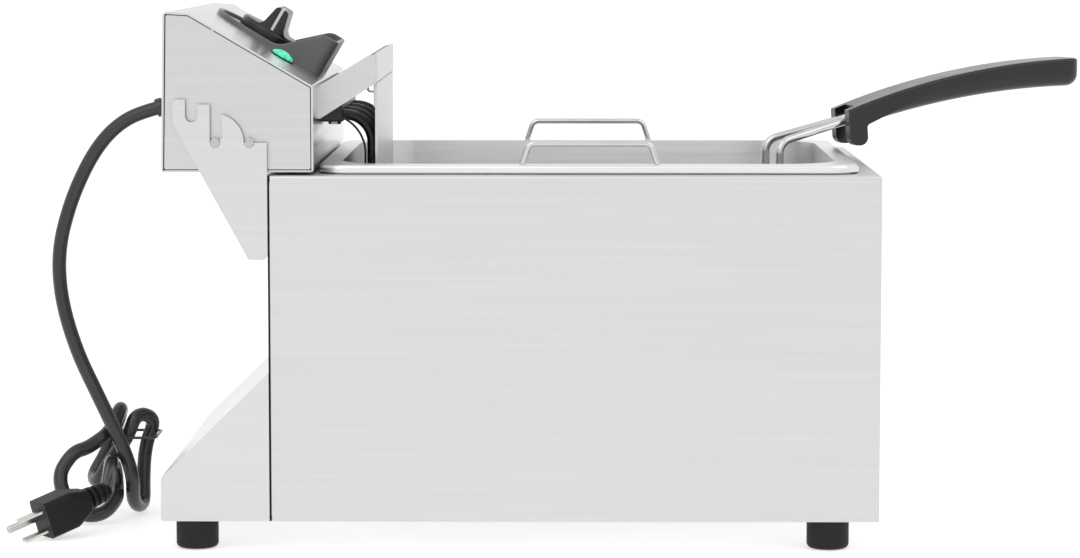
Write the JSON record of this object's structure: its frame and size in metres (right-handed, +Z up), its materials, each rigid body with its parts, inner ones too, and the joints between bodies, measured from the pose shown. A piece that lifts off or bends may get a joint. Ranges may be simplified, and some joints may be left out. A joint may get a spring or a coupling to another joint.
{
  "type": "electric deep fryer",
  "caption": "Countertop electric deep fryer: steel case, lift-out oil tank, tilting head with heating elements, thermostat knob, wire basket with moulded grip and tied mains cord.",
  "frame": {"origin": "on the table, under the middle of the fryer's box without its cord", "axes": "+X from the control head towards the basket handle, +Y across the body, +Z up"},
  "size_m": [0.6756, 0.2868, 0.323],
  "materials": {
    "body_steel": "satin",
    "head_steel": "satin",
    "tank_steel": "bright",
    "fixings": "bright",
    "bright_wire": "bright",
    "element_tube": "dull oxide",
    "black_plastic": "satin",
    "pale_plastic": "satin",
    "lamp_green": "domed lens",
    "rubber_black": "matt",
    "cord_rubber": "satin",
    "plug_metal": "bright"
  },
  "bodies": {
    "fryer": {"body_casing": "body_steel", "rear_panel": "body_steel", "base_plate": "body_steel", "rear_stand": "body_steel", "oil_tank": "tank_steel", "tank_handle_near": "bright_wire", "tank_handle_far": "bright_wire", "bracket_near": "body_steel", "bracket_far": "body_steel", "bracket_screws": "fixings", "foot_front_near": "rubber_black", "foot_front_far": "rubber_black", "foot_rear_near": "rubber_black", "foot_rear_far": "rubber_black", "foot_screws": "fixings", "cord_hank": "cord_rubber", "cord_tail": "cord_rubber", "cord_tie": "cord_rubber", "plug_body": "cord_rubber", "plug_pins": "plug_metal", "cord_lead": "cord_rubber"},
    "head": {"dial_plate": "pale_plastic", "element_block": "black_plastic", "element_braces": "element_tube", "element_far": "element_tube", "element_near": "element_tube", "element_nuts": "fixings", "guard_plate": "head_steel", "hanger": "head_steel", "hanger_screws": "fixings", "head_base": "head_steel", "head_screws": "fixings", "head_side_far": "head_steel", "head_side_near": "head_steel", "head_wrap": "head_steel", "interlock_switch": "black_plastic", "knob_guard": "black_plastic", "lamp_bezel": "black_plastic", "lamp_lens": "lamp_green", "limiter": "pale_plastic", "limiter_sensor": "element_tube", "locating_pin_far": "fixings", "locating_pin_near": "fixings", "pivot_pin_far": "fixings", "pivot_pin_near": "fixings", "strain_relief": "cord_rubber", "terminal_strip": "pale_plastic", "thermostat": "pale_plastic", "thermostat_sensor": "element_tube", "wire_hook": "bright_wire"},
    "dial": {"knob": "black_plastic", "knob_line": "pale_plastic", "thermostat_shaft": "fixings"},
    "basket": {"basket_mesh": "bright_wire", "basket_rim": "bright_wire", "basket_hoops": "bright_wire", "handle_rods": "bright_wire", "grip": "black_plastic"}
  },
  "joints": [
    {"name": "head_tilt", "type": "hinge", "parent": "fryer", "child": "head", "pos_m": [-0.25392, 0, 0.2453], "axis": [0, -1, 0], "range_deg": [0, 85], "deforming": ["cord_lead"]},
    {"name": "knob_turn", "type": "hinge", "parent": "head", "child": "dial", "pos_m": [-0.23436, 0, 0.30154], "axis": [0.5052, 0, 0.863], "range_deg": [0, 270]},
    {"name": "basket_lift", "type": "slide", "parent": "head", "child": "basket", "axis": [0, 0, 1], "range_m": [0, 0.18]}
  ]
}
